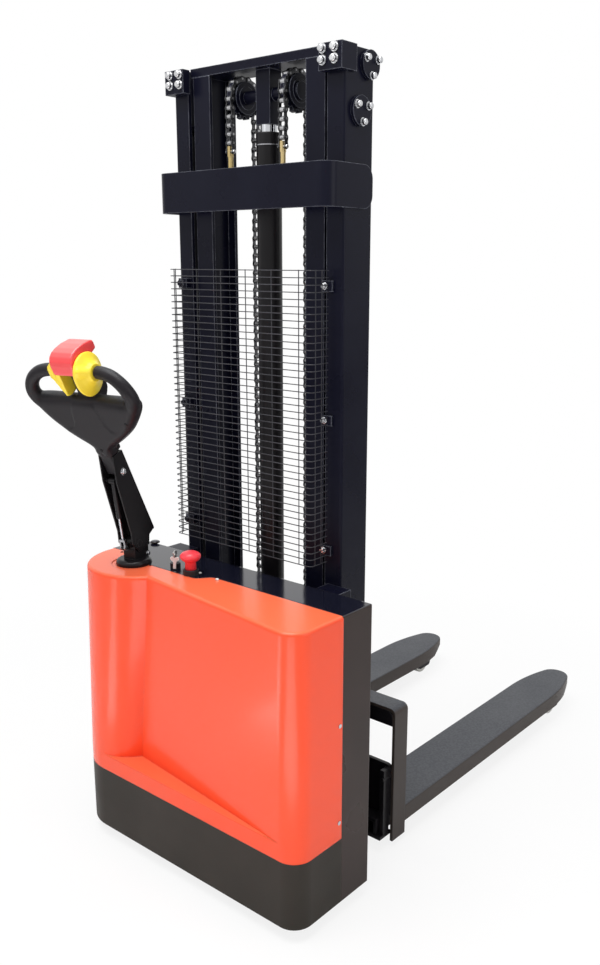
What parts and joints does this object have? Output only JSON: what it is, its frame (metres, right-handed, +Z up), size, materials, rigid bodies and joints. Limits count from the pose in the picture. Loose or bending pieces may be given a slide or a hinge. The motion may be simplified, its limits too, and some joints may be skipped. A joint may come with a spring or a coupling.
{
  "type": "electric stacker",
  "caption": "Pedestrian electric stacker: two-stage lifting mast with chain-hung forks, wire guard, tiller steering and a moulded rear cover over the drive unit.",
  "frame": {"origin": "on the floor, on the machine's centre line, below the fork side of the body box", "axes": "+X to the right of an operator facing the forks, +Y towards the fork tips, +Z up"},
  "size_m": [0.804, 1.699, 1.96],
  "materials": {
    "cover_orange": "satin moulded plastic",
    "skirt_dark": "dark powder coat",
    "frame_black": "black powder coat",
    "mast_black": "satin blue-black enamel",
    "fork_grey": "satin dark grey enamel",
    "machined_steel": "machined steel",
    "chrome_rod": "hard chrome",
    "zinc_bolts": "bright zinc plate",
    "chain_steel": "oiled steel",
    "brass_anchor": "yellow zinc plate",
    "guard_wire": "black coated wire",
    "head_plastic": "grained grey plastic",
    "button_red": "satin plastic",
    "paddle_yellow": "satin plastic",
    "tyre_poly": "cast polyurethane",
    "inner_black": "moulded casing",
    "motor_metal": "painted casting",
    "key_metal": "nickel plate"
  },
  "bodies": {
    "chassis": {"skirt": "skirt_dark", "base_plate": "frame_black", "frame_sheet": "frame_black", "front_wall": "frame_black", "rear_cover": "cover_orange", "floor_beam": "frame_black", "right_support_leg": "frame_black", "left_support_leg": "frame_black", "right_outer_rail": "mast_black", "left_outer_rail": "mast_black", "mast_brace": "mast_black", "chain_anchors": "brass_anchor", "front_chains": "chain_steel", "cylinder_barrel": "mast_black", "cylinder_gland": "mast_black", "mast_brackets": "mast_black", "roller_flanges": "mast_black", "frame_bolts": "zinc_bolts", "mesh_guard": "guard_wire", "guard_clamps": "guard_wire", "batteries": "inner_black", "oil_tank": "frame_black", "pump_motor": "motor_metal", "motor_controller": "inner_black", "stop_base": "inner_black", "key_switch": "inner_black"},
    "steering": {"drive_fork": "motor_metal", "drive_motor": "motor_metal", "steering_column": "frame_black"},
    "drive_wheel": {"drive_wheel": "tyre_poly"},
    "tiller": {"tiller_arm": "frame_black", "tiller_bolts": "zinc_bolts", "tiller_head": "head_plastic", "hand_loops": "head_plastic"},
    "belly_button": {"belly_button": "button_red"},
    "throttle": {"throttle_paddles": "paddle_yellow"},
    "lift_rocker": {"lift_rocker": "inner_black"},
    "spring_tube": {"gas_spring_tube": "frame_black"},
    "spring_rod": {"gas_spring_rod": "chrome_rod"},
    "inner_mast": {"right_inner_rail": "mast_black", "left_inner_rail": "mast_black", "mast_crosshead": "mast_black", "inner_tie": "mast_black", "piston_rod": "chrome_rod", "rear_chains": "chain_steel", "chain_wraps": "chain_steel"},
    "chain_wheels": {"chain_wheels": "mast_black"},
    "mast_rollers": {"mast_rollers": "machined_steel"},
    "top_rollers": {"top_rollers": "machined_steel"},
    "carriage": {"carriage_frame": "fork_grey", "carriage_backrest": "fork_grey", "right_fork": "fork_grey", "left_fork": "fork_grey"},
    "lower_rollers": {"lower_carriage_rollers": "machined_steel"},
    "upper_rollers": {"upper_carriage_rollers": "machined_steel"},
    "load_rollers": {"load_rollers": "tyre_poly"},
    "caster": {"caster_fork": "motor_metal"},
    "caster_wheel": {"caster_wheel": "tyre_poly"},
    "stop_button": {"stop_button": "button_red"},
    "key": {"key": "key_metal"}
  },
  "joints": [
    {"name": "mast_lift", "type": "slide", "parent": "chassis", "child": "inner_mast", "axis": [0, 0, 1], "range_m": [0, 1.35], "deforming": ["front_chains"]},
    {"name": "carriage_lift", "type": "slide", "parent": "inner_mast", "child": "carriage", "axis": [0, 0, 1], "range_m": [0, 1.35], "deforming": ["rear_chains"]},
    {"name": "chain_wheel_turn", "type": "hinge", "parent": "inner_mast", "child": "chain_wheels", "pos_m": [0, 0.101, 1.886], "axis": [1, 0, 0], "continuous": true},
    {"name": "mast_roller_turn", "type": "hinge", "parent": "inner_mast", "child": "mast_rollers", "pos_m": [0, 0.101, 0.15], "axis": [1, 0, 0], "continuous": true},
    {"name": "top_roller_turn", "type": "hinge", "parent": "chassis", "child": "top_rollers", "pos_m": [0, 0.101, 1.827], "axis": [1, 0, 0], "continuous": true},
    {"name": "lower_roller_turn", "type": "hinge", "parent": "carriage", "child": "lower_rollers", "pos_m": [0, 0.101, 0.12], "axis": [1, 0, 0], "continuous": true},
    {"name": "upper_roller_turn", "type": "hinge", "parent": "carriage", "child": "upper_rollers", "pos_m": [0, 0.101, 0.33], "axis": [1, 0, 0], "continuous": true},
    {"name": "load_roller_turn", "type": "hinge", "parent": "chassis", "child": "load_rollers", "pos_m": [0, 1.18, 0.038], "axis": [1, 0, 0], "continuous": true},
    {"name": "steer", "type": "hinge", "parent": "chassis", "child": "steering", "pos_m": [-0.255, -0.15, 0.2], "axis": [0, 0, 1], "range_deg": [-72, 48]},
    {"name": "drive_turn", "type": "hinge", "parent": "steering", "child": "drive_wheel", "pos_m": [-0.255, -0.15, 0.09], "axis": [0.9781, 0.2079, 0], "continuous": true},
    {"name": "tiller_tilt", "type": "hinge", "parent": "steering", "child": "tiller", "pos_m": [-0.255, -0.15, 0.809], "axis": [0.9781, 0.2079, 0], "range_deg": [0, 64], "stiffness_Nm_per_rad": 15, "springref_deg": -68.75},
    {"name": "spring_swing", "type": "hinge", "parent": "tiller", "child": "spring_tube", "pos_m": [-0.2413, -0.21446, 0.98197], "axis": [0.9781, 0.2079, 0], "range_deg": [-0.5, 8.36]},
    {"name": "spring_stroke", "type": "slide", "parent": "spring_tube", "child": "spring_rod", "axis": [0.0343, -0.1612, 0.9863], "range_m": [-0.0005, 0.03189]},
    {"name": "belly_press", "type": "slide", "parent": "tiller", "child": "belly_button", "axis": [0.0954, -0.4486, 0.8886], "range_m": [-0.006, 0], "stiffness_N_per_m": 800, "springref_m": 0.008},
    {"name": "throttle_turn", "type": "hinge", "parent": "tiller", "child": "throttle", "pos_m": [-0.21756, -0.32614, 1.2636], "axis": [0.9781, 0.2079, 0], "range_deg": [-25, 25], "stiffness_Nm_per_rad": 4},
    {"name": "rocker_tilt", "type": "hinge", "parent": "tiller", "child": "lift_rocker", "pos_m": [-0.23024, -0.26648, 1.25007], "axis": [0.9781, 0.2079, 0], "range_deg": [-8, 8], "stiffness_Nm_per_rad": 1},
    {"name": "stop_press", "type": "slide", "parent": "chassis", "child": "stop_button", "axis": [0, 0, 1], "range_m": [-0.008, 0]},
    {"name": "key_turn", "type": "hinge", "parent": "chassis", "child": "key", "pos_m": [-0.137, -0.113, 0.77], "axis": [0, 0, 1], "range_deg": [0, 90]},
    {"name": "caster_swivel", "type": "hinge", "parent": "chassis", "child": "caster", "pos_m": [0.255, -0.15, 0.19], "axis": [0, 0, 1], "continuous": true},
    {"name": "caster_turn", "type": "hinge", "parent": "caster", "child": "caster_wheel", "pos_m": [0.255, -0.185, 0.0625], "axis": [1, 0, 0], "continuous": true}
  ],
  "couplings": [
    {"joint": "carriage_lift", "follows": "mast_lift", "ratio": 1},
    {"joint": "chain_wheel_turn", "follows": "mast_lift", "rad_per_m": 22.727},
    {"joint": "mast_roller_turn", "follows": "mast_lift", "rad_per_m": -24.57},
    {"joint": "top_roller_turn", "follows": "mast_lift", "rad_per_m": 28.818},
    {"joint": "lower_roller_turn", "follows": "mast_lift", "rad_per_m": -28.818},
    {"joint": "upper_roller_turn", "follows": "mast_lift", "rad_per_m": 28.818},
    {"joint": "spring_swing", "follows": "tiller_tilt", "ratio": 0.12275},
    {"joint": "spring_stroke", "follows": "tiller_tilt", "m_per_rad": 0.028098}
  ]
}
